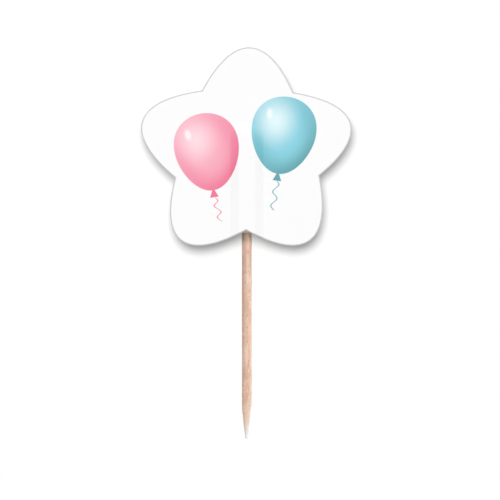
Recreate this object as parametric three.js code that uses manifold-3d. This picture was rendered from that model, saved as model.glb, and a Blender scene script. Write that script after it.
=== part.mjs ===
// Cupcake pick: two die-cut star cards glued together over a pointed wooden pick.
// Millimetres. +Z runs up the pick from its point, the origin, and the printed card faces -Y.

import * as THREE from "three";
import { mergeVertices } from "three/addons/utils/BufferGeometryUtils.js";
import Module from "manifold-3d";

const wasm = await Module();
wasm.setup();

// Pick
const PICK_DIAMETER = 2.2;
const PICK_LENGTH = 65;
const POINT_LENGTH = 7.6;
const POINT_DIAMETER = 0.42;
const SHOULDER_LENGTH = 1.2;
const SHOULDER_STEPS = 4;
const TOP_CHAMFER = 0.25;
const PICK_SIDES = 32;

// Star: the lobes reach out from its centre to rounded tips and meet in sharp notches.
const LOBE_REACH = 23.55;
const NOTCH_RADIUS = 16.65;
// The larger this is, the straighter a lobe's flanks and the more pointed its tip.
const LOBE_TAPER = 0.62;
// It was drawn by hand, so each lobe and each notch lies a little further in or out and leans by a
// degree or so. Seen from the front, the lists run clockwise from the top lobe and from the notch
// after it.
const LOBE_TRIMS = [-0.38, 0, -0.2, 0.16, 0.33];
const LOBE_LEANS = [1.5, 1.3, -0.1, 1, -0.7];
const NOTCH_TRIMS = [0.1, -0.15, 0, -0.15, 0.25];
const NOTCH_LEANS = [1, -1.3, 0.6, -0.5, 0.6];
const LOBE_STEPS = 28;

// Cards: each is pressed into a tent over the pick, with a level crest and straight flanks that meet
// the crest and the flat card in soft folds. The front card is the stiffer one and bends less, so the
// cards meet in a plane that lies in front of the pick's axis.
const FRONT_THICKNESS = 0.4;
const BACK_THICKNESS = 0.3;
const BOND_OFFSET = 0.4;
const INSERTED_LENGTH = 19.75;
const CREST_CLEARANCE = 0.35;
const FLANK_WIDTH = 2.3;
const FOLD_WIDTH = 0.4;
const FOLD_STEPS = 3;
const CROWN_STEPS = 16;
// How far the sheet reaches past the die, and the die past the sheet's faces.
const DIE_MARGIN = 1;

// Glue: a film between the flat parts of the cards and a bead in the hollow on each side of the pick.
const FILM_THICKNESS = 0.1;
const FILM_MARGIN = 0.8;
const FILM_SLOT_CLEARANCE = 0.1;
const BEAD_CLEARANCE = 0.3;
const BEAD_TAIL_HEIGHT = 0.25;
const BEAD_MOUTH_GAP = 1.2;
const BEAD_TOP_GAP = 1.5;
const BEAD_STEPS = 14;
const BEAD_HUG_STEPS = 6;

const lobeCount = LOBE_TRIMS.length;
const lobePitch = (2 * Math.PI) / lobeCount;
const pickRadius = PICK_DIAMETER / 2;
// The pick's front and back facets lie against the cards, a little inside its corner radius.
const seatDepth = pickRadius * Math.cos(Math.PI / PICK_SIDES);
const crestHalf = pickRadius + CREST_CLEARANCE;
const tentHalf = crestHalf + FLANK_WIDTH;
const foldWidth = Math.min(FOLD_WIDTH, 0.45 * FLANK_WIDTH);
const filmHalf = FILM_THICKNESS / 2;
const bondPlane = -BOND_OFFSET;
const notchHeight = PICK_LENGTH - INSERTED_LENGTH;
const starHeight = notchHeight + NOTCH_RADIUS;

// How high a card's inner face stands over the film at a distance from the pick's axis, and how steeply
// it falls away there. The slope grows evenly through one fold, stays, and ends evenly in the other.
// Here and below, side is -1 for the front card and 1 for the back card.
function tent(side, distance) {
  const rise = seatDepth - side * bondPlane - filmHalf;
  const steepest = rise / (FLANK_WIDTH - foldWidth);
  const across = THREE.MathUtils.clamp(distance - crestHalf, 0, FLANK_WIDTH);
  const fromEnd = Math.min(across, FLANK_WIDTH - across);
  if (fromEnd >= foldWidth) {
    return { height: rise - steepest * (across - foldWidth / 2), tilt: Math.atan(steepest) };
  }
  const folded = (steepest * fromEnd ** 2) / (2 * foldWidth);
  const height = across < foldWidth ? rise - folded : folded;
  return { height, tilt: Math.atan((steepest * fromEnd) / foldWidth) };
}

// The Y of a card's inner face at a distance from the pick's axis.
const innerFace = (side, distance) => bondPlane + side * (filmHalf + tent(side, distance).height);

// A point of the star seen from the front, from its centre, clockwise from the top.
function polar(turns, lean, radius) {
  const angle = turns * lobePitch + THREE.MathUtils.degToRad(lean);
  return new THREE.Vector2(radius * Math.sin(angle), radius * Math.cos(angle));
}

// The star's outline drawn in by a margin. Each lobe is one curve from notch to notch through its tip.
function starShape(margin) {
  const notches = NOTCH_TRIMS.map((trim, k) =>
    polar(k + 0.5, NOTCH_LEANS[k], NOTCH_RADIUS + trim - margin),
  );
  const shape = new THREE.Shape();
  const start = notches[lobeCount - 1];
  shape.moveTo(start.x, start.y);
  LOBE_TRIMS.forEach((trim, k) => {
    const from = notches[(k + lobeCount - 1) % lobeCount];
    const to = notches[k];
    const tip = polar(k, LOBE_LEANS[k], LOBE_REACH + trim - margin);
    // Both handles lie on the way from an end to this corner, which is where it has to be for the
    // middle of the curve to come out at the tip.
    const ends = from.clone().add(to).multiplyScalar(4 - 3 * LOBE_TAPER);
    const corner = tip.multiplyScalar(8).sub(ends).divideScalar(6 * LOBE_TAPER);
    const [leaving, arriving] = [from, to].map((end) => end.clone().lerp(corner, LOBE_TAPER));
    shape.bezierCurveTo(leaving.x, leaving.y, arriving.x, arriving.y, to.x, to.y);
  });
  return shape;
}

// A flat outline stood up in the XZ plane, its thickness shared between front and back.
function uprightPlate(shape, thickness) {
  const plate = new THREE.ExtrudeGeometry(shape, {
    depth: thickness,
    bevelEnabled: false,
    curveSegments: LOBE_STEPS,
  });
  return plate.translate(0, 0, -thickness / 2).rotateX(Math.PI / 2);
}

// A closed three.js geometry as a solid that can be cut. Merging its vertices closes up the triangles
// that lie along a pole, and those are left out.
function toSolid(geometry) {
  const bare = geometry.clone();
  bare.deleteAttribute("normal");
  bare.deleteAttribute("uv");
  const merged = mergeVertices(bare);
  const corners = merged.index.array;
  const triVerts = [];
  for (let i = 0; i < corners.length; i += 3) {
    const [a, b, c] = corners.slice(i, i + 3);
    if (a !== b && b !== c && c !== a) triVerts.push(a, b, c);
  }
  const solidMesh = new wasm.Mesh({
    numProp: 3,
    vertProperties: new Float32Array(merged.attributes.position.array),
    triVerts: new Uint32Array(triVerts),
  });
  return new wasm.Manifold(solidMesh);
}

// A cut solid as a three.js geometry again.
function toGeometry(solid) {
  const { vertProperties, triVerts } = solid.getMesh();
  const geometry = new THREE.BufferGeometry();
  geometry.setAttribute("position", new THREE.BufferAttribute(new Float32Array(vertProperties), 3));
  geometry.setIndex(new THREE.BufferAttribute(new Uint32Array(triVerts), 1));
  geometry.computeVertexNormals();
  return geometry;
}

// Even steps from one value to another, both ends included.
function steps(from, to, count) {
  return Array.from({ length: count + 1 }, (_, i) => from + ((to - from) * i) / count);
}

// A sheet of card larger than the star, pressed over the pick. It is drawn in bands that run up one
// side of the pick, round its top end and down the other side.
function pressedSheet(side, thickness) {
  const lobeReach = LOBE_REACH + Math.max(...LOBE_TRIMS);
  const distances = [
    0,
    ...steps(crestHalf, crestHalf + foldWidth, FOLD_STEPS),
    ...steps(tentHalf - foldWidth, tentHalf, FOLD_STEPS),
    NOTCH_RADIUS + lobeReach + DIE_MARGIN,
  ];
  const foot = starHeight - lobeReach - DIE_MARGIN;
  const stations = [
    { z: foot, angle: Math.PI },
    ...steps(Math.PI, 0, CROWN_STEPS).map((angle) => ({ z: PICK_LENGTH, angle })),
    { z: foot, angle: 0 },
  ];

  const positions = [];
  for (const layer of [0, 1]) {
    for (const { z, angle } of stations) {
      for (const distance of distances) {
        const { tilt } = tent(side, distance);
        const out = distance + layer * thickness * Math.sin(tilt);
        const y = innerFace(side, distance) + side * layer * thickness * Math.cos(tilt);
        positions.push(out * Math.cos(angle), y, z + out * Math.sin(angle));
      }
    }
  }

  const lastStation = stations.length - 1;
  const lastDistance = distances.length - 1;
  const at = (layer, s, d) => (layer * stations.length + s) * distances.length + d;
  const index = [];
  const quad = (a, b, c, d) => index.push(...(side > 0 ? [a, b, c, a, c, d] : [a, c, b, a, d, c]));
  for (let s = 0; s < lastStation; s++) {
    for (let d = 0; d < lastDistance; d++) {
      quad(at(0, s, d), at(0, s + 1, d), at(0, s + 1, d + 1), at(0, s, d + 1));
      quad(at(1, s, d), at(1, s, d + 1), at(1, s + 1, d + 1), at(1, s + 1, d));
    }
    const rim = lastDistance;
    quad(at(0, s, rim), at(0, s + 1, rim), at(1, s + 1, rim), at(1, s, rim));
  }
  for (let d = 0; d < lastDistance; d++) {
    const end = lastStation;
    quad(at(0, 0, d), at(0, 0, d + 1), at(1, 0, d + 1), at(1, 0, d));
    quad(at(0, end, d), at(1, end, d), at(1, end, d + 1), at(0, end, d + 1));
  }

  const geometry = new THREE.BufferGeometry();
  geometry.setAttribute("position", new THREE.Float32BufferAttribute(positions, 3));
  geometry.setIndex(index);
  return geometry;
}

// A card is the pressed sheet cut out with the star-shaped die.
function cardGeometry(side, thickness) {
  const dieDepth = 2 * (pickRadius + thickness + DIE_MARGIN);
  const die = uprightPlate(starShape(0), dieDepth).translate(0, 0, starHeight);
  return toGeometry(toSolid(pressedSheet(side, thickness)).intersect(toSolid(die)));
}

// The glue layer between the cards, open over the whole tent.
function filmGeometry() {
  const slotHalf = tentHalf + FILM_SLOT_CLEARANCE;
  const slot = new THREE.Shape();
  slot.moveTo(-slotHalf, 0);
  slot.lineTo(slotHalf, 0);
  slot.lineTo(slotHalf, PICK_LENGTH);
  slot.absarc(0, PICK_LENGTH, slotHalf, 0, Math.PI, false);
  slot.closePath();
  const layer = uprightPlate(starShape(FILM_MARGIN), FILM_THICKNESS).translate(0, 0, starHeight);
  const opening = uprightPlate(slot, PICK_DIAMETER);
  return toGeometry(toSolid(layer).subtract(toSolid(opening))).translate(0, bondPlane, 0);
}

// A bead of glue in the hollow beside the pick. It hugs the pick and thins out between the flanks.
// hand is -1 for the bead on the left and 1 for the one on the right.
function beadGeometry(hand) {
  const hug = pickRadius + BEAD_CLEARANCE;
  const brow = Math.asin((seatDepth - BEAD_CLEARANCE) / hug);
  const hollow = steps(hug * Math.cos(brow), tentHalf, BEAD_STEPS)
    .map((x) => ({
      x,
      front: innerFace(-1, x) + BEAD_CLEARANCE,
      back: innerFace(1, x) - BEAD_CLEARANCE,
    }))
    .filter(({ front, back }) => back - front > BEAD_TAIL_HEIGHT);
  const behind = hollow.map(({ x, back }) => new THREE.Vector2(hand * x, back));
  const before = hollow.map(({ x, front }) => new THREE.Vector2(hand * x, front));
  const hugging = steps(-brow, brow, BEAD_HUG_STEPS)
    .slice(1, -1)
    .map((a) => new THREE.Vector2(hand * hug * Math.cos(a), hug * Math.sin(a)));
  const section = new THREE.Shape([...behind, ...before.reverse(), ...hugging]);
  const bottom = notchHeight + BEAD_MOUTH_GAP;
  const depth = PICK_LENGTH - BEAD_TOP_GAP - bottom;
  return new THREE.ExtrudeGeometry(section, { depth, bevelEnabled: false }).translate(0, 0, bottom);
}

// The pick is turned: a blunt cone, a rounded shoulder, a straight shank and a small chamfer on top.
function pickGeometry() {
  const pointRadius = POINT_DIAMETER / 2;
  const coneRadius = (z) => THREE.MathUtils.lerp(pointRadius, pickRadius, z / POINT_LENGTH);
  const shoulderStart = POINT_LENGTH - SHOULDER_LENGTH / 2;
  const shoulderEnd = POINT_LENGTH + SHOULDER_LENGTH / 2;
  const profile = new THREE.Path();
  profile.moveTo(0, 0);
  profile.lineTo(pointRadius, 0);
  profile.lineTo(coneRadius(shoulderStart), shoulderStart);
  profile.quadraticCurveTo(pickRadius, POINT_LENGTH, pickRadius, shoulderEnd);
  profile.lineTo(pickRadius, PICK_LENGTH - TOP_CHAMFER);
  profile.lineTo(pickRadius - TOP_CHAMFER, PICK_LENGTH);
  profile.lineTo(0, PICK_LENGTH);
  const points = profile.getPoints(SHOULDER_STEPS);
  return new THREE.LatheGeometry(points, PICK_SIDES, Math.PI / PICK_SIDES).rotateX(Math.PI / 2);
}

function piece(name, geometry, color, roughness) {
  const material = new THREE.MeshStandardMaterial({ color, roughness, metalness: 0 });
  const mesh = new THREE.Mesh(geometry, material);
  mesh.name = name;
  return mesh;
}

const group = new THREE.Group();
group.add(
  piece("front_card", cardGeometry(-1, FRONT_THICKNESS), 0xfdfdfc, 0.45),
  piece("back_card", cardGeometry(1, BACK_THICKNESS), 0xfafaf8, 0.6),
  piece("adhesive_film", filmGeometry(), 0xf2efe6, 0.35),
  piece("glue_bead_left", beadGeometry(-1), 0xefe9d8, 0.3),
  piece("glue_bead_right", beadGeometry(1), 0xefe9d8, 0.3),
  piece("pick", pickGeometry(), 0xdcbfa6, 0.7),
);

export default group;
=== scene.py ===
"""A cupcake pick: a die-cut star of two cards, pressed and glued over a pointed birch pick."""

import math

import bmesh
import bpy
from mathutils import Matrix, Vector
from mathutils.geometry import delaunay_2d_cdt


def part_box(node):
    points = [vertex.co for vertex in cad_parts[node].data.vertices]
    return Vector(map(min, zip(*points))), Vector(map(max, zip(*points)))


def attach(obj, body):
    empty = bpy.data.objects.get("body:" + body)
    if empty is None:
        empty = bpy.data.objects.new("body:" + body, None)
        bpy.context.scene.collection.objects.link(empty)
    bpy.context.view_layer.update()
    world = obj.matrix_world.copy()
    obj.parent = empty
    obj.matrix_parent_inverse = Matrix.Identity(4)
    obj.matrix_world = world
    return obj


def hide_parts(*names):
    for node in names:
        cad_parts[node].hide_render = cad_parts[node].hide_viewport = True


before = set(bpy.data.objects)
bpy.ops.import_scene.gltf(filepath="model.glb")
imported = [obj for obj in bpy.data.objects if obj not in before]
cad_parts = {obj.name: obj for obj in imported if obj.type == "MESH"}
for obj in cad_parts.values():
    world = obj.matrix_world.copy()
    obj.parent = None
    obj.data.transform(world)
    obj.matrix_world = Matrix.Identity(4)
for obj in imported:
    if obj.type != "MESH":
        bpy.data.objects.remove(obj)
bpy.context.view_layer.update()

bl_info = {
    "name": "Cupcake Pick",
    "version": (1, 0, 0),
    "blender": (4, 5, 0),
    "location": "View3D > Sidebar > Cupcake Pick",
    "description": "Makes a printed card star on a pointed wooden pick, and the stage it is shown on",
    "category": "Add Mesh",
}

BODY = "root"
LOBES = 5
LOBE_PITCH = 2 * math.pi / LOBES
FRONT, BACK = -1, 1
PICK_SIDES = 72
SHARP_CARD, SHARP_WOOD = math.radians(40), math.radians(50)


def mm(value):
    """Millimetres as metres."""
    return value / 1000


def ink(red, green, blue):
    """A colour given in the usual 0 to 255 steps, as the linear colour that Blender works with."""
    shares = [channel / 255 for channel in (red, green, blue)]
    return tuple(s / 12.92 if s <= 0.04045 else ((s + 0.055) / 1.055) ** 2.4 for s in shares)


PICK_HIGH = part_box("pick")[1]
BACK_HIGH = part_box("back_card")[1]


# Settings


def length(name, description, default):
    """A property for a length, shown in the scene's own unit."""
    return bpy.props.FloatProperty(
        name=name, description=description, default=default, precision=5, unit="LENGTH", subtype="DISTANCE"
    )


def share(name, description, default):
    """A property for a share from 0 to 1."""
    return bpy.props.FloatProperty(
        name=name, description=description, default=default, min=0, max=1, subtype="FACTOR"
    )


def trims(name, description, default):
    """A property for one length for each lobe or notch, given here in millimetres."""
    return bpy.props.FloatVectorProperty(
        name=name,
        description=f"{description}, clockwise from the top lobe",
        default=[mm(trim) for trim in default],
        size=LOBES,
        precision=5,
        unit="LENGTH",
    )


def leans(name, description, default):
    """A property for one angle for each lobe or notch, given here in degrees."""
    return bpy.props.FloatVectorProperty(
        name=name,
        description=f"{description}, clockwise from the top lobe",
        default=[math.radians(lean) for lean in default],
        size=LOBES,
    )


def level(name, description, default):
    """A property for how bright a lamp makes a white surface that faces it."""
    return bpy.props.FloatProperty(name=name, description=description, default=default, min=0)


def colour(name, description, default):
    """A property for a linear colour."""
    return bpy.props.FloatVectorProperty(
        name=name, description=description, default=default, size=3, min=0, max=1, subtype="COLOR"
    )


class StarSettings(bpy.types.PropertyGroup):
    """Sizes of the two star cards and of the tent they make over the pick"""

    lobe_reach: length("Lobe reach", "From the star's centre to the tip of a lobe", mm(23.52))
    notch_radius: length("Notch radius", "From the star's centre to the notches", mm(16.62))
    lobe_taper: share("Lobe taper", "How straight the flanks of a lobe are and how pointed its tip", 0.62)
    lobe_trims: trims("Lobe trims", "How much further each lobe reaches", (-0.38, 0, -0.2, 0.16, 0.33))
    lobe_leans: leans("Lobe leans", "How far each lobe leans clockwise", (1.5, 1.3, -0.1, 1, -0.7))
    notch_trims: trims("Notch trims", "How much further out each notch lies", (0.1, -0.15, 0, -0.15, 0.25))
    notch_leans: leans("Notch leans", "How far each notch lies clockwise", (1, -1.3, 0.6, -0.5, 0.6))
    lobe_steps: bpy.props.IntProperty(
        name="Lobe steps", description="Points along the curve of one lobe", default=112, min=8, max=400
    )
    centre_height: length("Centre height", "The star's centre above the pick's point", mm(61.9))
    front_thickness: length("Front card", "Thickness of the printed card", mm(0.4))
    back_thickness: length("Back card", "Thickness of the plain card", mm(0.3))
    cut_edge_width: length("Cut edge width", "How wide a rim the die crushes on a card", mm(0.26))
    cut_edge_depth: length("Cut edge depth", "How deep the die crushes that rim", mm(0.09))
    bond_offset: length("Bond offset", "How far the plane of the glue lies before the pick's axis", mm(0.4))
    film_thickness: length("Glue thickness", "Thickness of the glue between the cards", mm(0.1))
    crest_half: length("Crest half width", "Half the width of the level top of the tent", mm(1.45))
    flank_width: length("Flank width", "Width of the tent's sloping side", mm(2.3))
    fold_width: length("Fold width", "Width of the soft fold at each end of the flank", mm(0.4))


class PickSettings(bpy.types.PropertyGroup):
    """Sizes and colours of the wooden pick"""

    radius: length("Radius", "Radius of the straight shank", PICK_HIGH.x)
    height: length("Length", "From the point to the hidden end", PICK_HIGH.z)
    point_length: length("Point length", "Length of the cone", mm(7.6))
    point_radius: length("Point radius", "Radius of the blunt end of the cone", mm(0.2))
    belly: length("Belly", "How much the cone swells halfway up", mm(0.05))
    shoulder: length("Shoulder", "Length of the rounding between the cone and the shank", mm(1.2))
    top_chamfer: length("Top chamfer", "Chamfer on the hidden end", mm(0.25))
    groove_depth: length("Groove depth", "Depth of the grooves that the grain leaves", mm(0.03))
    cut_offset: length("Cut offset", "How far the cone was cut off centre", mm(0.11))
    oval: share("Oval", "How much narrower the shank is one way", 0.02)
    seed: bpy.props.IntProperty(name="Seed", description="Picks another pattern of grain", default=7)
    wood: colour("Wood", "Main colour of the birch", ink(231, 194, 171))
    pale_wood: colour("Pale wood", "Colour of the pale streaks", ink(242, 210, 190))
    dark_wood: colour("Dark wood", "Colour of the dark streaks", ink(210, 170, 146))


class PrintSettings(bpy.types.PropertyGroup):
    """Colours of the card and of the two printed balloons"""

    card: colour("Card", "Colour of the coated card", (0.93, 0.93, 0.93))
    back: colour("Back", "Colour of the plain back card", (0.9, 0.898, 0.89))
    core: colour("Core", "Colour of the card where it is cut", (0.8, 0.79, 0.77))
    # painted shade: the rim that the die crushes gets a darker copy of the core colour, so that it reads as
    # a shaded grey line round the star
    painted_rim_shade: colour("Rim painted shade", "Colour of the rim that the die crushes", (0.64, 0.63, 0.62))
    teal: colour("Teal", "Face of the right balloon", ink(132, 204, 220))
    teal_glow: colour("Teal glow", "Lit part of the right balloon", ink(222, 243, 247))
    teal_rim: colour("Teal rim", "Shaded edge of the right balloon", ink(86, 158, 165))
    pink: colour("Pink", "Face of the left balloon", ink(243, 165, 184))
    pink_glow: colour("Pink glow", "Lit part of the left balloon", ink(252, 214, 222))
    pink_rim: colour("Pink rim", "Shaded edge of the left balloon", ink(234, 112, 146))


class GlueSettings(bpy.types.PropertyGroup):
    """Colours of the glue"""

    film: colour("Film", "Colour of the glue layer between the cards", (0.87, 0.85, 0.79))
    bead: colour("Bead", "Colour of the beads beside the pick", (0.86, 0.82, 0.71))


class StageSettings(bpy.types.PropertyGroup):
    """Camera, lamps and background"""

    lens: bpy.props.FloatProperty(
        name="Lens", description="Focal length of the camera", default=200, unit="CAMERA"
    )
    view_width: length("View width", "Width of the picture at the pick", mm(108.75))
    view_x: length("View centre X", "Where the picture's centre lies across the pick", mm(0.68))
    view_z: length("View centre Z", "How high the picture's centre lies", mm(41.0))
    backdrop_gap: length("Backdrop gap", "From the back of the star to the backdrop", mm(1.75))
    floor_drop: length("Floor drop", "How far the floor lies under the pick's point", mm(30))
    ambient: share("Ambient", "Brightness of the light from all round", 0.3)
    key: level("Key", "Level of the lamp above the camera", 0.865)
    pick_key: level("Pick key", "Level of the lamp that only lights the pick, from high on the right", 1.78)
    pick_fill: level("Pick fill", "Level of the lamp that only lights the pick, from the left", 0.34)
    rear: level("Rear", "Level of the lamp behind the star", 0.68)
    sides: level("Sides", "Level of the two lamps that only light the cards' cut edges", 0.25)
    wall: level("Wall", "Level of the lamp that only lights the backdrop", 4.85)


# Node trees


class Wire:
    """A value in a node tree. An expression on wires adds the Math nodes that work it out."""

    def __init__(self, nodes, socket):
        self.nodes = nodes
        self.socket = socket

    def out(self, name):
        """Another output of the node that this value comes from."""
        return Wire(self.nodes, self.socket.node.outputs[name])

    def math(self, operation, *others):
        return self.nodes.math(operation, self, *others)

    def __add__(self, other):
        return self.nodes.math("ADD", self, other)

    def __radd__(self, other):
        return self.nodes.math("ADD", other, self)

    def __sub__(self, other):
        return self.nodes.math("SUBTRACT", self, other)

    def __rsub__(self, other):
        return self.nodes.math("SUBTRACT", other, self)

    def __mul__(self, other):
        return self.nodes.math("MULTIPLY", self, other)

    def __rmul__(self, other):
        return self.nodes.math("MULTIPLY", other, self)

    def __truediv__(self, other):
        return self.nodes.math("DIVIDE", self, other)

    def __rtruediv__(self, other):
        return self.nodes.math("DIVIDE", other, self)

    def __pow__(self, other):
        return self.nodes.math("POWER", self, other)

    def __abs__(self):
        return self.nodes.math("ABSOLUTE", self)

    def least(self, other):
        return self.nodes.math("MINIMUM", self, other)

    def most(self, other):
        return self.nodes.math("MAXIMUM", self, other)

    def root(self):
        return self.nodes.math("SQRT", self)

    def clamped(self):
        """The value held between 0 and 1."""
        return self.most(0).least(1)

    def eased(self, low, high):
        """0 below low, 1 above high and a soft step between them."""
        return self.nodes.add(
            "ShaderNodeMapRange",
            {"interpolation_type": "SMOOTHSTEP"},
            {"Value": self, "From Min": low, "From Max": high},
        )


class Nodes:
    """Adds nodes to one tree."""

    def __init__(self, tree):
        self.tree = tree

    def add(self, kind, settings=None, sockets=None, output=0):
        """Adds a node: its settings go in first, then the values or wires of its sockets."""
        node = self.tree.nodes.new(kind)
        for name, value in (settings or {}).items():
            setattr(node, name, value)
        for key, value in (sockets or {}).items():
            if isinstance(value, Wire):
                self.tree.links.new(value.socket, node.inputs[key])
            else:
                node.inputs[key].default_value = value
        return Wire(self, node.outputs[output]) if node.outputs else None

    def math(self, operation, *values):
        return self.add("ShaderNodeMath", {"operation": operation}, dict(enumerate(values)))

    def vector_math(self, operation, *values):
        return self.add("ShaderNodeVectorMath", {"operation": operation}, dict(enumerate(values)))

    def joined(self, x, y, z):
        return self.add("ShaderNodeCombineXYZ", {}, {"X": x, "Y": y, "Z": z})

    def parts(self, vector):
        """The three numbers of a vector."""
        x = self.add("ShaderNodeSeparateXYZ", {}, {0: vector})
        return x, x.out("Y"), x.out("Z")

    def mix(self, factor, under, over):
        """The colour under, painted over by a share of another."""
        a, b = (shade if isinstance(shade, Wire) else (*shade, 1) for shade in (under, over))
        return self.add("ShaderNodeMix", {"data_type": "RGBA"}, {0: factor, 6: a, 7: b}, output=2)

    def noise(self, vector, scale, detail=2.0, roughness=0.5):
        """Soft noise from 0 to 1."""
        return self.add(
            "ShaderNodeTexNoise",
            {"noise_dimensions": "3D"},
            {"Vector": vector, "Scale": scale, "Detail": detail, "Roughness": roughness},
        )


def geometry_tree(name, inputs):
    """A Geometry Nodes tree with named inputs, its nodes and the wire of its input node."""
    tree = bpy.data.node_groups.new(name, "GeometryNodeTree")
    tree.interface.new_socket("Geometry", in_out="OUTPUT", socket_type="NodeSocketGeometry")
    for title, kind in inputs:
        tree.interface.new_socket(title, in_out="INPUT", socket_type=f"NodeSocket{kind}")
    nodes = Nodes(tree)
    return tree, nodes, nodes.add("NodeGroupInput")


def make_with(tree, name, base, values):
    """Runs a tree on a base mesh and returns the result as an object with a plain mesh."""
    piece = bpy.data.objects.new(name, base)
    bpy.context.scene.collection.objects.link(piece)
    modifier = piece.modifiers.new(tree.name, "NODES")
    modifier.node_group = tree
    sockets = {i.name: i.identifier for i in tree.interface.items_tree if i.in_out == "INPUT"}
    for title, value in values.items():
        modifier[sockets[title]] = value
    evaluated = piece.evaluated_get(bpy.context.evaluated_depsgraph_get())
    made = bpy.data.meshes.new_from_object(evaluated)
    piece.modifiers.remove(modifier)
    piece.data = made
    made.name = name
    return piece


def close_shell(piece, sharp_angle):
    """Merges seams and poles, turns the faces outward and smooths them up to an angle."""
    seam, sliver = mm(0.0005), mm(0.0002)
    shell = bmesh.new()
    shell.from_mesh(piece.data)
    bmesh.ops.remove_doubles(shell, verts=shell.verts, dist=seam)
    bmesh.ops.dissolve_degenerate(shell, edges=shell.edges, dist=sliver)
    bmesh.ops.recalc_face_normals(shell, faces=shell.faces)
    loose = [edge for edge in shell.edges if len(edge.link_faces) != 2]
    for face in shell.faces:
        face.smooth = True
    shell.to_mesh(piece.data)
    shell.free()
    if loose:
        raise RuntimeError(f"{piece.name} is not a closed shell: {len(loose)} open edges")
    piece.data.set_sharp_from_angle(angle=sharp_angle)


def hand_over(piece, slot, *cad_nodes):
    """Makes a piece ride on the pick's body in place of the solids that it stands for."""
    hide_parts(*cad_nodes)
    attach(piece, BODY)


# Finishes


def new_finish(name):
    """A material with an empty tree."""
    finish = bpy.data.materials.new(name)
    finish.use_nodes = True
    finish.node_tree.nodes.clear()
    return finish, Nodes(finish.node_tree)


def place_in_mm(nodes):
    """The place on the piece in millimetres."""
    place = nodes.add("ShaderNodeTexCoord").out("Object")
    return nodes.add("ShaderNodeVectorMath", {"operation": "SCALE"}, {0: place, "Scale": 1000})


def surface(nodes, **sockets):
    """The shader and the output that end a material."""
    named = {name.replace("_", " "): value for name, value in sockets.items()}
    shader = nodes.add("ShaderNodeBsdfPrincipled", {}, named)
    nodes.add("ShaderNodeOutputMaterial", {}, {"Surface": shader})


def bump(nodes, height, depth, strength=1.0):
    """The normal of a surface that rises by up to depth, in metres, where height is 1."""
    return nodes.add("ShaderNodeBump", {}, {"Height": height, "Distance": depth, "Strength": strength})


def balloon(nodes, under, x, z, middle, lean, half_width, half_height, string_end, face, glow, rim):
    """Prints a party balloon with its knot and string over a colour. Lengths are in millimetres."""
    taper, edge = 0.17, 0.09
    knot_length, knot_half_width, knot_flare, knot_overlap = 1.5, 0.35, 0.45, 0.5
    half_waves, wave_width, string_reach, string_edge, sharp_ends = 4.2, 0.55, 0.2, 0.1, 60
    dx, dz = x - middle[0], z - middle[1]
    across = dx * math.cos(lean) - dz * math.sin(lean)
    along = dx * math.sin(lean) + dz * math.cos(lean)
    v = along / half_height
    u = across / (half_width * (1 + taper * v))
    out = (u * u + v * v).root()
    body = ((1 - out) * (half_width / edge)).clamped()

    below = along * -1 - half_height
    knot = (
        ((knot_half_width + below * knot_flare - abs(across)) / edge).clamped()
        * ((knot_length - below) / edge).clamped()
        * ((below + knot_overlap) / edge).clamped()
    )

    tail_x = middle[0] - (half_height + knot_length) * math.sin(lean)
    tail_z = middle[1] - (half_height + knot_length) * math.cos(lean)
    down = (tail_z - z) / (tail_z - string_end[1])
    wave = nodes.math("SINE", down * (half_waves * math.pi)) * wave_width
    line = down * (string_end[0] - tail_x) + tail_x + wave
    string = (
        ((string_reach - abs(x - line)) / string_edge).clamped()
        * (down * sharp_ends).clamped()
        * ((1 - down) * sharp_ends).clamped()
    )

    shaded = (0.5 + (u * 0.6 - v * 0.75) * 0.55).clamped() * out.eased(0.35, 1.0)
    lit = (1 - ((u + 0.28) * (u + 0.28) + (v - 0.34) * (v - 0.34)).root() / 0.85).clamped()
    spot = 1 - (((u + 0.47) / 0.13) ** 2 + ((v - 0.5) / 0.2) ** 2).root()
    printed = nodes.mix(shaded, face, rim)
    printed = nodes.mix(lit.eased(0.0, 1.0), printed, glow)
    printed = nodes.mix(spot.eased(0.0, 0.7) * 0.7, printed, (0.93, 0.95, 0.95))

    paint = nodes.mix(string * 0.85, under, rim)
    paint = nodes.mix(knot, paint, rim)
    return nodes.mix(body, paint, printed), body.most(knot).most(string)


def printed_card_finish(colours):
    """Coated white card with two printed balloons."""
    finish, nodes = new_finish("printed_card")
    place = place_in_mm(nodes)
    x, _, z = nodes.parts(place)
    cloudy = nodes.noise(place, 0.12, 3)
    card = nodes.mix(cloudy * 0.5, colours.card, [0.985 * c for c in colours.card])
    paint, pink_ink = balloon(
        nodes, card, x, z, (-8.6, 62.3), math.radians(-9), 7.0, 8.5, (-5.6, 47.2),
        colours.pink, colours.pink_glow, colours.pink_rim,
    )
    paint, teal_ink = balloon(
        nodes, paint, x, z, (7.9, 65.9), math.radians(8), 7.0, 8.5, (5.6, 49.6),
        colours.teal, colours.teal_glow, colours.teal_rim,
    )
    inked = pink_ink.most(teal_ink)
    tooth = nodes.noise(place, 5.0, 4)
    surface(
        nodes,
        Base_Color=paint,
        Roughness=0.46 + tooth * 0.06 - inked * 0.1,
        Normal=bump(nodes, tooth, mm(0.004), 0.5),
        Specular_IOR_Level=0.4,
    )
    return finish


def plain_card_finish(colours):
    """Uncoated white card with a faint fibrous tooth."""
    finish, nodes = new_finish("plain_card")
    place = place_in_mm(nodes)
    fibres = nodes.noise(nodes.vector_math("MULTIPLY", place, (1.0, 1.0, 2.2)), 2.4, 5, 0.65)
    cloudy = nodes.noise(place, 0.2, 3)
    mottled = fibres.eased(0.35, 0.75) * 0.6 + cloudy * 0.3
    shade = nodes.mix(mottled, colours.back, [0.955 * c for c in colours.back])
    surface(
        nodes,
        Base_Color=shade,
        Roughness=0.68 + fibres * 0.12,
        Normal=bump(nodes, fibres, mm(0.01), 0.5),
        Specular_IOR_Level=0.3,
    )
    return finish


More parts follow.
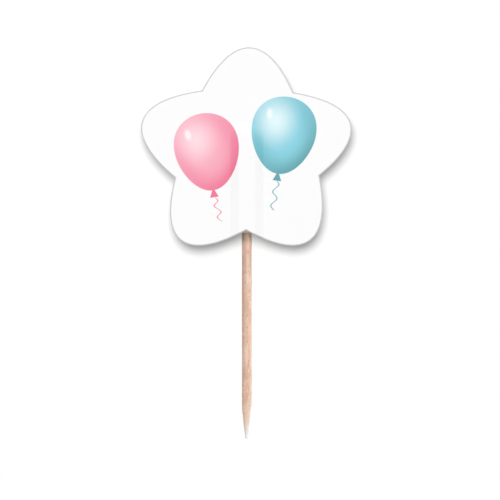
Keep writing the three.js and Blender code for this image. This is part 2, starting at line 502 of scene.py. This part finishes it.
def card_core_finish(name, shade):
    """Bare card: pressed layers of pulp."""
    finish, nodes = new_finish(name)
    place = place_in_mm(nodes)
    layers = nodes.noise(nodes.vector_math("MULTIPLY", place, (0.8, 26.0, 0.8)), 1.0, 3, 0.6)
    grit = nodes.noise(place, 9.0, 3)
    surface(
        nodes,
        Base_Color=nodes.mix(layers.eased(0.3, 0.7), shade, [0.88 * c for c in shade]),
        Roughness=0.85,
        Normal=bump(nodes, layers * 0.6 + grit * 0.4, mm(0.02), 0.6),
        Specular_IOR_Level=0.25,
    )
    return finish


def birch_finish(sizes):
    """Bare birch: streaks along the grain, tinted patches, pale gleams and short brown pores.

    The point is painted paler, palest at its tip, as a painted highlight. Under the star the wood is
    painted darker with the star's shade, most on its left, and it darkens a little further down; in the
    star's notch it is painted pale."""
    finish, nodes = new_finish("birch")
    place = place_in_mm(nodes)
    x, _, z = nodes.parts(place)
    shift = float(sizes.seed)

    def grain(across, along, detail=3.0, roughness=0.55, offset=0.0):
        moved = nodes.vector_math("ADD", place, (shift + offset, offset * 1.7, offset * 23.0))
        stretched = nodes.vector_math("MULTIPLY", moved, (across, across, along))
        return nodes.noise(stretched, 1.0, detail, roughness)

    streaks = grain(1.05, 0.19, roughness=0.62)
    fibres = grain(6.5, 0.5, 2.0, offset=3.1)
    warm = grain(0.8, 0.19, 1.0, offset=9.7)
    green = grain(0.8, 0.21, 1.0, offset=17.3)
    pores = grain(3.4, 1.5, 1.0, offset=5.9).eased(0.62, 0.7)
    gleams = grain(2.6, 1.1, 1.0, offset=29.4).eased(0.6, 0.7)

    wood = nodes.mix(streaks.eased(0.36, 0.64), sizes.dark_wood, sizes.pale_wood)
    wood = nodes.mix(0.2, wood, sizes.wood)
    wood = nodes.mix(warm.eased(0.48, 0.7) * 0.5, wood, ink(240, 186, 168))
    wood = nodes.mix(green.eased(0.5, 0.7) * 0.5, wood, ink(206, 184, 156))
    wood = nodes.mix(fibres.eased(0.4, 0.75) * 0.25, wood, ink(196, 156, 132))
    wood = nodes.mix(gleams * 0.5, wood, ink(252, 226, 206))
    wood = nodes.mix(pores * 0.55, wood, ink(174, 132, 108))
    # painted light: the cone is painted paler to make up for the shade that the steep pick lamp gives it,
    # and the tip is palest, a painted highlight
    cone, tip = 1 - z.eased(6.5, 8.5), 1 - z.eased(0.3, 5.0)
    painted_mouth_shade, below_mouth, notch = z.eased(41.7, 43.8), z.eased(30, 41), z.eased(44.6, 44.8)
    wood = nodes.mix(cone * 0.6, wood, ink(252, 219, 200))
    wood = nodes.mix(tip * 0.85, wood, ink(250, 246, 242))
    # painted shade: the star's shadow on the wood just below its mouth, darker on the left; further down
    # the wood is made a little darker towards the star
    painted_shade_and_darkening = painted_mouth_shade * (0.6 - x * 0.45).clamped() + below_mouth * 0.13
    wood = nodes.mix(painted_shade_and_darkening, wood, ink(166, 138, 120))
    wood = nodes.mix(notch * 0.9, wood, ink(238, 214, 203))
    surface(
        nodes,
        Base_Color=wood,
        Roughness=0.58 + fibres * 0.2,
        Normal=bump(nodes, fibres * 0.6 + streaks * 0.4 - pores * 0.5, mm(0.03), 0.6),
        Specular_IOR_Level=0.5,
        Sheen_Weight=0.5,
        Sheen_Roughness=0.4,
    )
    return finish


def glue_finish(name, shade, roughness):
    """Dried white glue, a little cloudy and glossy."""
    finish, nodes = new_finish(name)
    place = place_in_mm(nodes)
    cloudy = nodes.noise(place, 1.3, 3)
    surface(
        nodes,
        Base_Color=nodes.mix(cloudy.eased(0.3, 0.7), shade, [0.93 * c for c in shade]),
        Roughness=roughness + cloudy * 0.15,
        Normal=bump(nodes, cloudy, mm(0.03), 0.5),
        Subsurface_Weight=0.1,
    )
    return finish


# Cards


def from_centre(turns, lean, radius):
    """A point of the star seen from the front, clockwise from the top by a number of lobes and a lean."""
    angle = turns * LOBE_PITCH + lean
    return Vector((math.sin(angle), math.cos(angle))) * (radius * 1000)


def star_outline(star):
    """The star's outline clockwise from the notch left of the top lobe, from its centre, in millimetres."""
    notches = [
        from_centre(i + 0.5, lean, star.notch_radius + trim)
        for i, (trim, lean) in enumerate(zip(star.notch_trims, star.notch_leans))
    ]
    points = []
    for lobe in range(LOBES):
        start, end = notches[lobe - 1], notches[lobe]
        tip = from_centre(lobe, star.lobe_leans[lobe], star.lobe_reach + star.lobe_trims[lobe])
        corner = (8 * tip - (4 - 3 * star.lobe_taper) * (start + end)) / (6 * star.lobe_taper)
        leaving, arriving = (at.lerp(corner, star.lobe_taper) for at in (start, end))
        for step in range(star.lobe_steps):
            t = step / star.lobe_steps
            u = 1 - t
            points.append(u**3 * start + 3 * u * u * t * leaving + 3 * u * t * t * arriving + t**3 * end)
    return points


def outward(loop):
    """How each point of a clockwise loop moves when its sides move out by one."""
    moves = []
    for i, point in enumerate(loop):
        sides = [(point - loop[i - 1]).normalized(), (loop[(i + 1) % len(loop)] - point).normalized()]
        normals = [Vector((-side.y, side.x)) for side in sides]
        bisector = (normals[0] + normals[1]).normalized()
        moves.append(bisector / max(0.2, bisector.dot(normals[0])))
    return moves


def fold_lines(star, pick_top):
    """Lines at even distances from the pick, up one side, round its end and down the other side."""
    crest_steps, fold_steps, flank_steps, shank_steps, turn_steps = 3, 5, 4, 40, 36
    crest, flank, fold = (1000 * size for size in (star.crest_half, star.flank_width, star.fold_width))
    distances = [crest * i / crest_steps for i in range(1, crest_steps)]
    distances += [crest + fold * i / fold_steps for i in range(fold_steps + 1)]
    distances += [crest + fold + (flank - 2 * fold) * i / flank_steps for i in range(1, flank_steps)]
    distances += [crest + flank - fold + fold * i / fold_steps for i in range(fold_steps + 1)]
    foot = -1000 * (star.lobe_reach + max(star.lobe_trims))
    heights = [foot + (pick_top - foot) * i / shank_steps for i in range(shank_steps)]
    angles = [math.pi * i / turn_steps for i in range(turn_steps + 1)]
    lines = [[Vector((0, height)) for height in [*heights, pick_top]]]
    for distance in distances:
        turn = [Vector((-math.cos(angle), math.sin(angle))) * distance for angle in angles]
        crown = [point + Vector((0, pick_top)) for point in turn]
        left = [Vector((-distance, height)) for height in heights]
        right = [Vector((distance, height)) for height in reversed(heights)]
        lines.append([*left, *crown, *right])
    return lines


def star_blank(star, pick_top, thickness):
    """The flat star as the die cuts it, standing in the XZ plane, with lines where it will fold.

    Each point says how deep it lies through the card, from 0 on its inner to 1 on its outer face, and each
    face says whether it is bare core and whether it lies on the rim that the die presses down, which gets a
    painted rim shade."""
    rim_width, rim_depth = star.cut_edge_width * 1000, star.cut_edge_depth / thickness
    beside_rim, lip_width, lip_depth = 0.3, 0.015, 0.05
    outline = star_outline(star)
    moves = outward(outline)
    chains = fold_lines(star, pick_top)
    for inset in (rim_width, rim_width + beside_rim):
        ring = [point - move * inset for point, move in zip(outline, moves)]
        chains.append([*ring, ring[0]])
    points, edges = [], []
    for chain in chains:
        edges += [(len(points) + i, len(points) + i + 1) for i in range(len(chain) - 1)]
        points += chain
    inside_only, tolerance = 1, 1e-5
    flat, _, triangles, *_ = delaunay_2d_cdt(points, edges, [], inside_only, tolerance)

    sides = {pair for face in triangles for pair in zip(face, [*face[1:], face[0]])}
    following = {a: b for a, b in sides if (b, a) not in sides}
    loop = [min(following)]
    while following[loop[-1]] != loop[0]:
        loop.append(following[loop[-1]])
    loop.reverse()
    moves = outward([flat[i] for i in loop])
    bends = [math.radians(a) for a in (20, 40, 60, 75, 90)]
    rim = [(rim_width * math.sin(a), 1 - rim_depth * (1 - math.cos(a))) for a in bends]
    rim += [(rim_width, lip_depth), (rim_width - lip_width, 0)]

    count = len(flat)
    places = [(*point, 1) for point in flat] + [(*point, 0) for point in flat]
    faces = list(triangles) + [[i + count for i in face] for face in triangles]
    bare = [False] * len(triangles) + [True] * len(triangles)
    painted_rim_shade = [False] * len(faces)
    rows = [loop]
    for out, through in rim:
        rows.append(range(len(places), len(places) + len(loop)))
        places += [(*(flat[i] + move * out), through) for i, move in zip(loop, moves)]
    rows.append([i + count for i in loop])
    for row, (upper, lower) in enumerate(zip(rows, rows[1:])):
        for i in range(len(loop)):
            faces.append((upper[i - 1], upper[i], lower[i], lower[i - 1]))
            bare.append(row >= len(bends))
            painted_rim_shade.append(row < len(bends))

    blank = bpy.data.meshes.new("star_blank")
    centre = star.centre_height
    blank.from_pydata([(mm(x), 0, mm(z) + centre) for x, z, _ in places], [], faces)
    blank.attributes.new("through", "FLOAT", "POINT").data.foreach_set("value", [t for *_, t in places])
    blank.attributes.new("bare", "BOOLEAN", "FACE").data.foreach_set("value", bare)
    blank.attributes.new("painted_rim_shade", "BOOLEAN", "FACE").data.foreach_set("value", painted_rim_shade)
    return blank


def press_tree():
    """Lays a flat star over the pick: a level crest, straight flanks and a soft fold at both their ends."""
    lengths = (
        "Thickness", "Bond Plane", "Glue Half", "Seat Depth",
        "Crest Half Width", "Flank Width", "Fold Width", "Pick Top",
    )
    finishes = ("Face", "Core", "Rim Painted Shade")
    inputs = [("Blank", "Geometry"), ("Side", "Float"), *((name, "Float") for name in lengths)]
    inputs += [(name, "Material") for name in finishes]
    tree, nodes, given = geometry_tree("press_card", inputs)
    side = given.out("Side")
    thickness, bond, glue, seat, crest, flank, fold, top = (given.out(name) for name in lengths)
    x, _, z = nodes.parts(nodes.add("GeometryNodeInputPosition"))
    over = (z - top).most(0)
    distance = (x * x + over * over).root()
    near, far = distance - crest, distance - crest - flank + fold

    def fallen(path):
        """How far a slope falls that grows evenly to one over the width of a fold."""
        begun = path.most(0)
        bending = begun.least(fold)
        return bending * bending / (fold * 2) + (begun - bending)

    rise = seat - side * bond - glue
    steepest = rise / (flank - fold)
    height = rise - steepest * (fallen(near) - fallen(far))
    slope = steepest * ((near / fold).clamped() - (far / fold).clamped())
    upright = 1 / (slope * slope + 1).root()
    through = nodes.add("GeometryNodeInputNamedAttribute", {"data_type": "FLOAT"}, {"Name": "through"})
    depth = through * thickness
    splay = depth * slope * upright / distance.most(mm(0.001))
    y = bond + side * (glue + height + depth * upright)
    pressed = nodes.add(
        "GeometryNodeSetPosition", {},
        {"Geometry": given.out("Blank"), "Position": nodes.joined(x + x * splay, y, z + over * splay)},
    )
    real = nodes.add("GeometryNodeRealizeInstances", {}, {"Geometry": pressed})
    finished = nodes.add(
        "GeometryNodeSetMaterial", {}, {"Geometry": real, "Material": given.out("Face")}
    )
    for name, material in (("bare", "Core"), ("painted_rim_shade", "Rim Painted Shade")):
        chosen = nodes.add("GeometryNodeInputNamedAttribute", {"data_type": "BOOLEAN"}, {"Name": name})
        finished = nodes.add(
            "GeometryNodeSetMaterial", {},
            {"Geometry": finished, "Selection": chosen, "Material": given.out(material)},
        )
    nodes.add("NodeGroupOutput", {}, {"Geometry": finished})
    return tree


class CUPCAKEPICK_OT_press_cards(bpy.types.Operator):
    """Cut the two star cards and press them over the pick"""

    bl_idname = "cupcake_pick.press_cards"
    bl_label = "Press Cards"

    def execute(self, context):
        star, pick, colours = context.scene.star, context.scene.pick, context.scene.star_print
        tree = press_tree()
        pick_top = (pick.height - star.centre_height) * 1000
        core = card_core_finish("card_core", tuple(colours.core))
        # painted shade: the crushed rim takes a darker copy of the core finish
        painted_rim_shade = card_core_finish("rim_painted_shade", tuple(colours.painted_rim_shade))
        printed, plain = printed_card_finish(colours), plain_card_finish(colours)
        cards = (
            ("printed_star", FRONT, star.front_thickness, printed, "printed_card", "front_card"),
            ("plain_star", BACK, star.back_thickness, plain, "plain_card", "back_card"),
        )
        for name, side, thickness, finish, slot, cad_node in cards:
            values = {
                "Side": float(side),
                "Thickness": thickness,
                "Bond Plane": -star.bond_offset,
                "Glue Half": star.film_thickness / 2,
                "Seat Depth": pick.radius,
                "Crest Half Width": star.crest_half,
                "Flank Width": star.flank_width,
                "Fold Width": star.fold_width,
                "Pick Top": pick.height,
                "Face": finish,
                "Core": core,
                "Rim Painted Shade": painted_rim_shade,
            }
            card = make_with(tree, name, star_blank(star, pick_top, thickness), values)
            close_shell(card, SHARP_CARD)
            hand_over(card, slot, cad_node)
        return {"FINISHED"}


# Pick


def turned_profile(pick):
    """Half of the pick's lengthwise section from its point up, as radius and height."""
    cone_rows, bend_rows, shank_rows = 22, 8, 76
    tip, radius = pick.point_radius, pick.radius
    rounding = 0.35 * tip
    corner = 0.3 * rounding
    rows = [(0.0, 0.0), (tip - rounding, 0.0), (tip - corner, corner), (tip, rounding)]
    low, high = pick.point_length - pick.shoulder / 2, pick.point_length + pick.shoulder / 2

    def cone(height):
        share = height / pick.point_length
        return tip + (radius - tip) * share + pick.belly * 4 * share * (1 - share)

    heights = [rounding + (low - rounding) * i / cone_rows for i in range(1, cone_rows + 1)]
    rows += [(cone(height), height) for height in heights]
    for i in range(1, bend_rows + 1):
        t = i / bend_rows
        bend = (1 - t) ** 2 * cone(low) + 2 * (1 - t) * t * radius + t * t * radius
        rows.append((bend, (1 - t) ** 2 * low + 2 * (1 - t) * t * pick.point_length + t * t * high))
    shank = pick.height - pick.top_chamfer
    rows += [(radius, high + (shank - high) * i / shank_rows) for i in range(1, shank_rows + 1)]
    rows += [(radius - pick.top_chamfer, pick.height), (0.0, pick.height)]
    return rows


def turning_tree():
    """Turns a profile round the pick's axis: a little oval, grooved, with its point off centre."""
    grooves_around, grooves_along, oval_turn = 6.4, 150, 1.1
    floats = ("Radius", "Oval", "Groove Depth", "Cut Offset", "Point Length", "Seed")
    inputs = [("Profile", "Geometry"), ("Rows", "Int"), ("Sides", "Int")]
    inputs += [*((name, "Float") for name in floats), ("Finish", "Material")]
    tree, nodes, given = geometry_tree("turn_pick", inputs)
    columns = given.out("Sides") + 1
    grid = nodes.add(
        "GeometryNodeMeshGrid", {},
        {"Size X": 1.0, "Size Y": 1.0, "Vertices X": given.out("Rows"), "Vertices Y": columns},
    )
    along, around, _ = nodes.parts(nodes.add("GeometryNodeInputPosition"))
    row = ((along + 0.5) * (given.out("Rows") - 1)).math("ROUND")
    place = nodes.add("GeometryNodeInputPosition")
    sample = nodes.add(
        "GeometryNodeSampleIndex", {"data_type": "FLOAT_VECTOR", "domain": "POINT"},
        {"Geometry": given.out("Profile"), "Value": place, "Index": row},
    )
    radius, _, z = nodes.parts(sample)
    angle = (around + 0.5) * (2 * math.pi)
    cosine, sine = angle.math("COSINE"), angle.math("SINE")
    narrowed = given.out("Oval") * (0.5 - 0.5 * (angle * 2 - oval_turn).math("COSINE"))
    grain = nodes.joined(
        cosine * grooves_around + given.out("Seed"), sine * grooves_around, z * grooves_along
    )
    grooves = nodes.noise(grain, 1.0, 2.0).eased(0.3, 0.7)
    spread = (radius / given.out("Radius")).clamped()
    uneven = radius * (1 - narrowed) - given.out("Groove Depth") * grooves * spread
    cone_ended = (z / given.out("Point Length")).eased(0.78, 1.08)
    aside = given.out("Cut Offset") * (1 - cone_ended)
    turned = nodes.add(
        "GeometryNodeSetPosition", {},
        {"Geometry": grid, "Position": nodes.joined(uneven * cosine - aside, uneven * sine, z)},
    )
    real = nodes.add("GeometryNodeRealizeInstances", {}, {"Geometry": turned})
    finished = nodes.add(
        "GeometryNodeSetMaterial", {}, {"Geometry": real, "Material": given.out("Finish")}
    )
    nodes.add("NodeGroupOutput", {}, {"Geometry": finished})
    return tree


class CUPCAKEPICK_OT_turn_pick(bpy.types.Operator):
    """Turn the pointed birch pick"""

    bl_idname = "cupcake_pick.turn_pick"
    bl_label = "Turn Pick"

    def execute(self, context):
        pick = context.scene.pick
        rows = turned_profile(pick)
        profile = bpy.data.meshes.new("pick_profile")
        profile.from_pydata([(radius, 0, height) for radius, height in rows], [], [])
        values = {
            "Rows": len(rows),
            "Sides": PICK_SIDES,
            "Radius": pick.radius,
            "Oval": pick.oval,
            "Groove Depth": pick.groove_depth,
            "Cut Offset": pick.cut_offset,
            "Point Length": pick.point_length,
            "Seed": float(pick.seed),
            "Finish": birch_finish(pick),
        }
        wood = make_with(turning_tree(), "birch_pick", profile, values)
        close_shell(wood, SHARP_WOOD)
        hand_over(wood, "birch", "pick")
        return {"FINISHED"}


# Glue


class CUPCAKEPICK_OT_set_glue(bpy.types.Operator):
    """Give the glue layer and the beads beside the pick their finish"""

    bl_idname = "cupcake_pick.set_glue"
    bl_label = "Set Glue"

    def execute(self, context):
        glue = context.scene.glue
        film = glue_finish("glue_film", tuple(glue.film), 0.3)
        bead = glue_finish("dried_glue", tuple(glue.bead), 0.22)
        for node, finish in (("adhesive_film", film), ("glue_bead_left", bead), ("glue_bead_right", bead)):
            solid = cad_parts[node]
            solid.data.materials.clear()
            solid.data.materials.append(finish)
        return {"FINISHED"}


# Stage


def stage_finish(name, paint, glow, one_sided):
    """A matt white that keeps its shadows, lifted towards white where the camera looks straight at it."""
    finish, nodes = new_finish(name)
    matt = nodes.add("ShaderNodeBsdfDiffuse", {}, {"Color": (paint, paint, paint, 1)})
    lift = nodes.add("ShaderNodeEmission", {}, {"Color": (1, 1, 1, 1), "Strength": glow})
    lifted = nodes.add("ShaderNodeAddShader", {}, {0: matt, 1: lift})
    path = nodes.add("ShaderNodeLightPath")
    shader = nodes.add("ShaderNodeMixShader", {}, {0: path.out("Is Camera Ray"), 1: matt, 2: lifted})
    if one_sided:
        clear = nodes.add("ShaderNodeBsdfTransparent")
        behind = nodes.add("ShaderNodeNewGeometry").out("Backfacing")
        shader = nodes.add("ShaderNodeMixShader", {}, {0: behind, 1: shader, 2: clear})
    nodes.add("ShaderNodeOutputMaterial", {}, {"Surface": shader})
    return finish


def stage_sheet(name, corners, finish):
    """A flat sheet of the stage through four corners, counter-clockwise as seen from its front."""
    mesh = bpy.data.meshes.new(name)
    mesh.from_pydata(corners, [], [(0, 1, 2, 3)])
    mesh.materials.append(finish)
    sheet = bpy.data.objects.new(name, mesh)
    bpy.context.scene.collection.objects.link(sheet)
    return sheet


def group(name, *members, left_out=False):
    """A collection that lamps are linked to: only its members count, or all objects but them."""
    made = bpy.data.collections.new(name)
    for member in members:
        made.objects.link(member)
    if left_out:
        for member in made.collection_objects:
            member.light_linking.link_state = "EXCLUDE"
    return made


def lamp(name, azimuth, elevation, spread, brightness, lights=None, shaded_by=None, distance=0.9):
    """A round soft lamp that looks at the star. Brightness is that of a white surface that faces it.

    Azimuth is to the right of the camera and spread is half the angle that the lamp fills. A lamp may
    light one group of objects only, and may be shaded by one group only."""
    light = bpy.data.lights.new(name, "AREA")
    light.shape = "DISK"
    radius = distance * math.tan(math.radians(spread))
    light.size = 2 * radius
    light.energy = brightness / math.sin(math.radians(spread)) ** 2 * radius**2 * math.pi**3 / 4
    holder = bpy.data.objects.new(name, light)
    a, e = math.radians(azimuth), math.radians(elevation)
    toward = Vector((math.sin(a) * math.cos(e), -math.cos(a) * math.cos(e), math.sin(e)))
    target = Vector((0, 0, bpy.context.scene.star.centre_height))
    holder.location = target + toward * distance
    holder.rotation_mode = "QUATERNION"
    holder.rotation_quaternion = (-toward).to_track_quat("-Z", "Y")
    holder.visible_camera = False
    holder.light_linking.receiver_collection = lights
    holder.light_linking.blocker_collection = shaded_by
    bpy.context.scene.collection.objects.link(holder)


class CUPCAKEPICK_OT_set_stage(bpy.types.Operator):
    """Set up the backdrop, the floor, the lamps and the camera"""

    bl_idname = "cupcake_pick.set_stage"
    bl_label = "Set Stage"

    def execute(self, context):
        scene, stage = context.scene, context.scene.stage
        scene.view_settings.view_transform = "Standard"

        # The backdrop stands a little turned, so that a view from the right doesn't see its edge.
        half_width, low, high, turn = mm(45), mm(34), mm(100), mm(0.34)
        wall = BACK_HIGH.y + stage.backdrop_gap
        left, right = (-half_width, wall + turn), (half_width, wall - turn)
        backdrop = stage_sheet(
            "backdrop",
            [(*left, low), (*right, low), (*right, high), (*left, high)],
            stage_finish("backdrop_white", 0.2, 0.22, one_sided=True),
        )
        for kind in ("diffuse", "glossy", "transmission", "shadow"):
            setattr(backdrop, f"visible_{kind}", False)
        reach, down = 0.25, -stage.floor_drop
        stage_sheet(
            "floor",
            [(-reach, -reach, down), (reach, -reach, down), (reach, reach, down), (-reach, reach, down)],
            stage_finish("floor_white", 0.8, 0.6, one_sided=False),
        )

        wood = scene.objects["birch_pick"]
        pick_only = group("pick_only", wood)
        others = group("all_but_pick_and_backdrop", wood, backdrop, left_out=True)
        cards = group("cards", *(scene.objects[name] for name in ("printed_star", "plain_star")))
        backdrop_only = group("backdrop_only", backdrop)
        lamp("key_lamp", 0, 30, 27, stage.key, others)
        lamp("rear_lamp", 180, 30, 27, stage.rear)
        lamp("left_lamp", -100, 15, 10, stage.sides, cards)
        lamp("right_lamp", 100, 15, 10, stage.sides, cards)
        lamp("pick_key_lamp", 42, 60, 14, stage.pick_key, pick_only, cards)
        lamp("pick_fill_lamp", -65, 45, 25, stage.pick_fill, pick_only, cards)
        lamp("wall_lamp", -6, 18.5, 18.6, stage.wall, backdrop_only, cards)

        world = bpy.data.worlds.new("studio")
        world.use_nodes = True
        world.node_tree.nodes.clear()
        nodes = Nodes(world.node_tree)
        path = nodes.add("ShaderNodeLightPath")
        seen = path.out("Is Camera Ray").most(path.out("Is Glossy Ray"))
        seen = seen.most(path.out("Is Transmission Ray"))
        soft = nodes.add("ShaderNodeBackground", {}, {"Color": (1, 1, 1, 1), "Strength": stage.ambient})
        white = nodes.add("ShaderNodeBackground", {}, {"Color": (1, 1, 1, 1), "Strength": 1.0})
        light = nodes.add("ShaderNodeMixShader", {}, {0: seen, 1: soft, 2: white})
        nodes.add("ShaderNodeOutputWorld", {}, {"Surface": light})
        scene.world = world

        camera = bpy.data.cameras.new("camera")
        camera.lens = stage.lens
        holder = bpy.data.objects.new("camera", camera)
        away = stage.view_width * stage.lens / camera.sensor_width
        holder.location = (stage.view_x, -away, stage.view_z)
        holder.rotation_euler = (math.radians(90), 0, 0)
        scene.collection.objects.link(holder)
        scene.camera = holder
        return {"FINISHED"}


# Add-on


class CUPCAKEPICK_PT_panel(bpy.types.Panel):
    """The steps that make the cupcake pick, in order"""

    bl_label = "Cupcake Pick"
    bl_space_type = "VIEW_3D"
    bl_region_type = "UI"
    bl_category = "Cupcake Pick"

    def draw(self, context):
        for step in STEPS:
            self.layout.operator(step.bl_idname)
        for name in SETTINGS:
            box = self.layout.box()
            settings = getattr(context.scene, name)
            for key in settings.bl_rna.properties.keys():
                if key not in ("rna_type", "name"):
                    box.prop(settings, key)


STEPS = (
    CUPCAKEPICK_OT_press_cards,
    CUPCAKEPICK_OT_turn_pick,
    CUPCAKEPICK_OT_set_glue,
    CUPCAKEPICK_OT_set_stage,
)
SETTINGS = {
    "star": StarSettings,
    "pick": PickSettings,
    "star_print": PrintSettings,
    "glue": GlueSettings,
    "stage": StageSettings,
}


def register():
    for kind in (*SETTINGS.values(), *STEPS, CUPCAKEPICK_PT_panel):
        bpy.utils.register_class(kind)
    for name, kind in SETTINGS.items():
        setattr(bpy.types.Scene, name, bpy.props.PointerProperty(type=kind))


def unregister():
    for name in SETTINGS:
        delattr(bpy.types.Scene, name)
    for kind in (CUPCAKEPICK_PT_panel, *reversed(STEPS), *reversed(SETTINGS.values())):
        bpy.utils.unregister_class(kind)


def main():
    register()
    bpy.ops.cupcake_pick.press_cards()
    bpy.ops.cupcake_pick.turn_pick()
    bpy.ops.cupcake_pick.set_glue()
    bpy.ops.cupcake_pick.set_stage()


if __name__ == "__main__":
    main()
